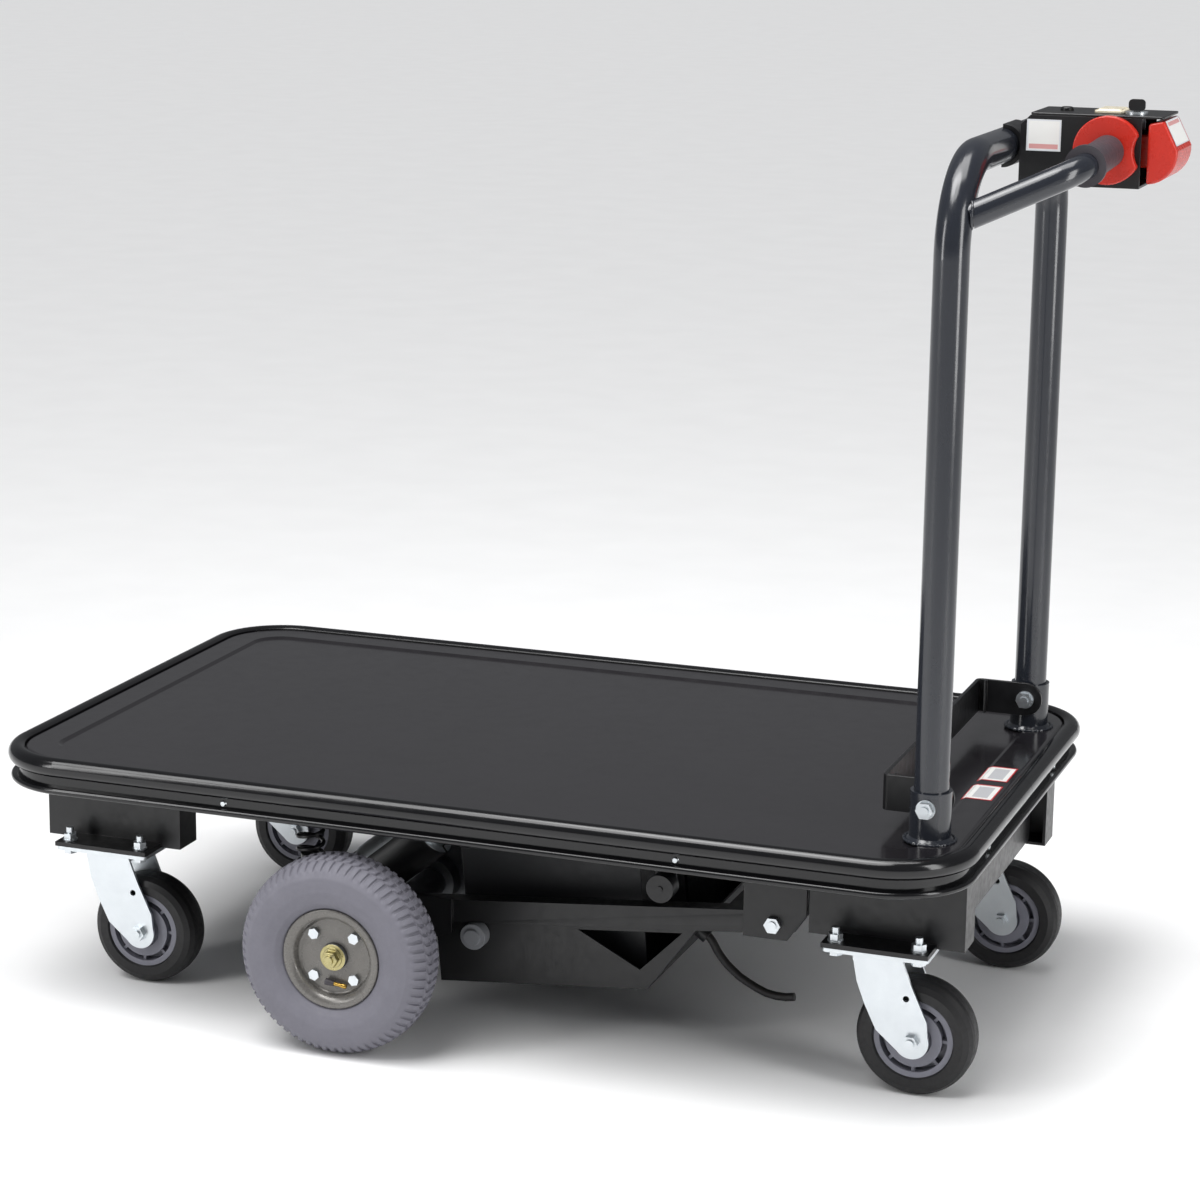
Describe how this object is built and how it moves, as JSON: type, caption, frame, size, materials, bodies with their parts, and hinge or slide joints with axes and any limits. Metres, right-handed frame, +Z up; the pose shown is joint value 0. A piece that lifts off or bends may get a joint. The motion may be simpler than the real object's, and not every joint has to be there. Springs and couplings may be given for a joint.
{
  "type": "powered flatbed platform truck",
  "caption": "Low platform truck with a rimmed steel deck, bumper, upright push handle with thumb-throttle control head, swivel casters and a sprung battery drive unit underneath.",
  "frame": {"origin": "on the floor, under the middle of the truck's overall box", "axes": "+X towards the handle end, +Y to the right-hand side of an operator who faces -X, +Z up"},
  "size_m": [1.4617, 0.8576, 1.212],
  "materials": {
    "deck_paint": "glossy",
    "bumper_rubber": "satin",
    "frame_paint": "satin",
    "handle_paint": "glossy",
    "zinc": "bright zinc plate",
    "black_plastic": "matte",
    "red_plastic": "glossy",
    "grey_plastic": "satin",
    "cream_plastic": "satin",
    "black_rubber": "matte",
    "caster_rubber": "matte",
    "grey_tyre": "matte",
    "wheel_core": "satin",
    "rim_paint": "satin",
    "hub_steel": "machined",
    "cast_aluminium": "as cast",
    "motor_steel": "bright",
    "spring_steel": "satin"
  },
  "bodies": {
    "chassis": {"deck_pan": "deck_paint", "bumper": "bumper_rubber", "bumper_screws": "zinc", "deck_frame": "frame_paint", "end_beams": "frame_paint", "caster_risers": "frame_paint", "caster_plates": "zinc", "caster_bolts": "zinc", "handle_sockets": "handle_paint", "handle_frame": "handle_paint", "grip_arms": "handle_paint", "grips": "black_rubber", "socket_bolts": "zinc", "load_stop": "frame_paint", "head_housing": "black_plastic", "head_cover": "black_plastic", "key_switch": "motor_steel", "battery_gauge": "cream_plastic", "hanger_brackets": "frame_paint", "pivot_bolts": "zinc", "controller": "cast_aluminium", "charge_socket": "black_plastic", "cable_harness": "black_rubber"},
    "key_body": {"key": "black_plastic"},
    "horn": {"horn_button": "black_plastic"},
    "throttle": {"throttle_levers": "red_plastic", "throttle_shaft": "zinc"},
    "belly": {"belly_switch": "red_plastic"},
    "drive_unit": {"subframe": "frame_paint", "battery_tray": "frame_paint", "breaker": "grey_plastic", "batteries": "black_plastic", "transaxle": "cast_aluminium", "drive_motor": "motor_steel", "coil_springs": "spring_steel", "tail_hose": "black_rubber"},
    "drive_wheel_left": {"drive_tyre_left": "grey_tyre", "drive_rim_left": "rim_paint", "drive_hub_left": "hub_steel", "rim_bolts_left": "zinc"},
    "drive_wheel_right": {"drive_tyre_right": "grey_tyre", "drive_rim_right": "rim_paint", "drive_hub_right": "hub_steel", "rim_bolts_right": "zinc"},
    "caster_front_left": {"fork_front_left": "zinc", "axle_front_left": "zinc"},
    "caster_wheel_front_left": {"wheel_front_left": "wheel_core", "tread_front_left": "caster_rubber"},
    "caster_front_right": {"fork_front_right": "zinc", "axle_front_right": "zinc"},
    "caster_wheel_front_right": {"wheel_front_right": "wheel_core", "tread_front_right": "caster_rubber"},
    "caster_rear_left": {"fork_rear_left": "zinc", "axle_rear_left": "zinc"},
    "caster_wheel_rear_left": {"wheel_rear_left": "wheel_core", "tread_rear_left": "caster_rubber"},
    "caster_rear_right": {"fork_rear_right": "zinc", "axle_rear_right": "zinc"},
    "caster_wheel_rear_right": {"wheel_rear_right": "wheel_core", "tread_rear_right": "caster_rubber"}
  },
  "joints": [
    {"name": "swivel_front_left", "type": "hinge", "parent": "chassis", "child": "caster_front_left", "pos_m": [-0.60695, -0.246, 0.175], "axis": [0, 0, 1], "continuous": true},
    {"name": "roll_front_left", "type": "hinge", "parent": "caster_front_left", "child": "caster_wheel_front_left", "pos_m": [-0.56195, -0.246, 0.075], "axis": [0, 1, 0], "continuous": true},
    {"name": "swivel_front_right", "type": "hinge", "parent": "chassis", "child": "caster_front_right", "pos_m": [-0.60695, 0.246, 0.175], "axis": [0, 0, 1], "continuous": true},
    {"name": "roll_front_right", "type": "hinge", "parent": "caster_front_right", "child": "caster_wheel_front_right", "pos_m": [-0.56195, 0.246, 0.075], "axis": [0, 1, 0], "continuous": true},
    {"name": "swivel_rear_left", "type": "hinge", "parent": "chassis", "child": "caster_rear_left", "pos_m": [0.45705, -0.246, 0.175], "axis": [0, 0, 1], "continuous": true},
    {"name": "roll_rear_left", "type": "hinge", "parent": "caster_rear_left", "child": "caster_wheel_rear_left", "pos_m": [0.50205, -0.246, 0.075], "axis": [0, 1, 0], "continuous": true},
    {"name": "swivel_rear_right", "type": "hinge", "parent": "chassis", "child": "caster_rear_right", "pos_m": [0.45705, 0.246, 0.175], "axis": [0, 0, 1], "continuous": true},
    {"name": "roll_rear_right", "type": "hinge", "parent": "caster_rear_right", "child": "caster_wheel_rear_right", "pos_m": [0.50205, 0.246, 0.075], "axis": [0, 1, 0], "continuous": true},
    {"name": "drive_unit_swing", "type": "hinge", "parent": "chassis", "child": "drive_unit", "pos_m": [0.31005, 0, 0.188], "axis": [0, 1, 0], "range_deg": [-2, 2.2], "stiffness_Nm_per_rad": 9000, "springref_deg": -1.15, "deforming": ["coil_springs"]},
    {"name": "drive_left", "type": "hinge", "parent": "drive_unit", "child": "drive_wheel_left", "pos_m": [-0.21695, -0.387, 0.13], "axis": [0, 1, 0], "continuous": true},
    {"name": "drive_right", "type": "hinge", "parent": "drive_unit", "child": "drive_wheel_right", "pos_m": [-0.21695, 0.387, 0.13], "axis": [0, 1, 0], "continuous": true},
    {"name": "throttle_turn", "type": "hinge", "parent": "chassis", "child": "throttle", "pos_m": [0.64895, 0, 1.153], "axis": [0, 1, 0], "range_deg": [-30, 30], "stiffness_Nm_per_rad": 0.6},
    {"name": "belly_press", "type": "slide", "parent": "chassis", "child": "belly", "axis": [-1, 0, 0], "range_m": [0, 0.006], "stiffness_N_per_m": 1500, "springref_m": -0.002},
    {"name": "key_turn", "type": "hinge", "parent": "chassis", "child": "key_body", "pos_m": [0.67495, -0.022, 1.19], "axis": [0, 0, 1], "range_deg": [0, 90]},
    {"name": "horn_press", "type": "slide", "parent": "chassis", "child": "horn", "axis": [0, 0, -1], "range_m": [0, 0.003], "stiffness_N_per_m": 800, "springref_m": -0.001}
  ]
}
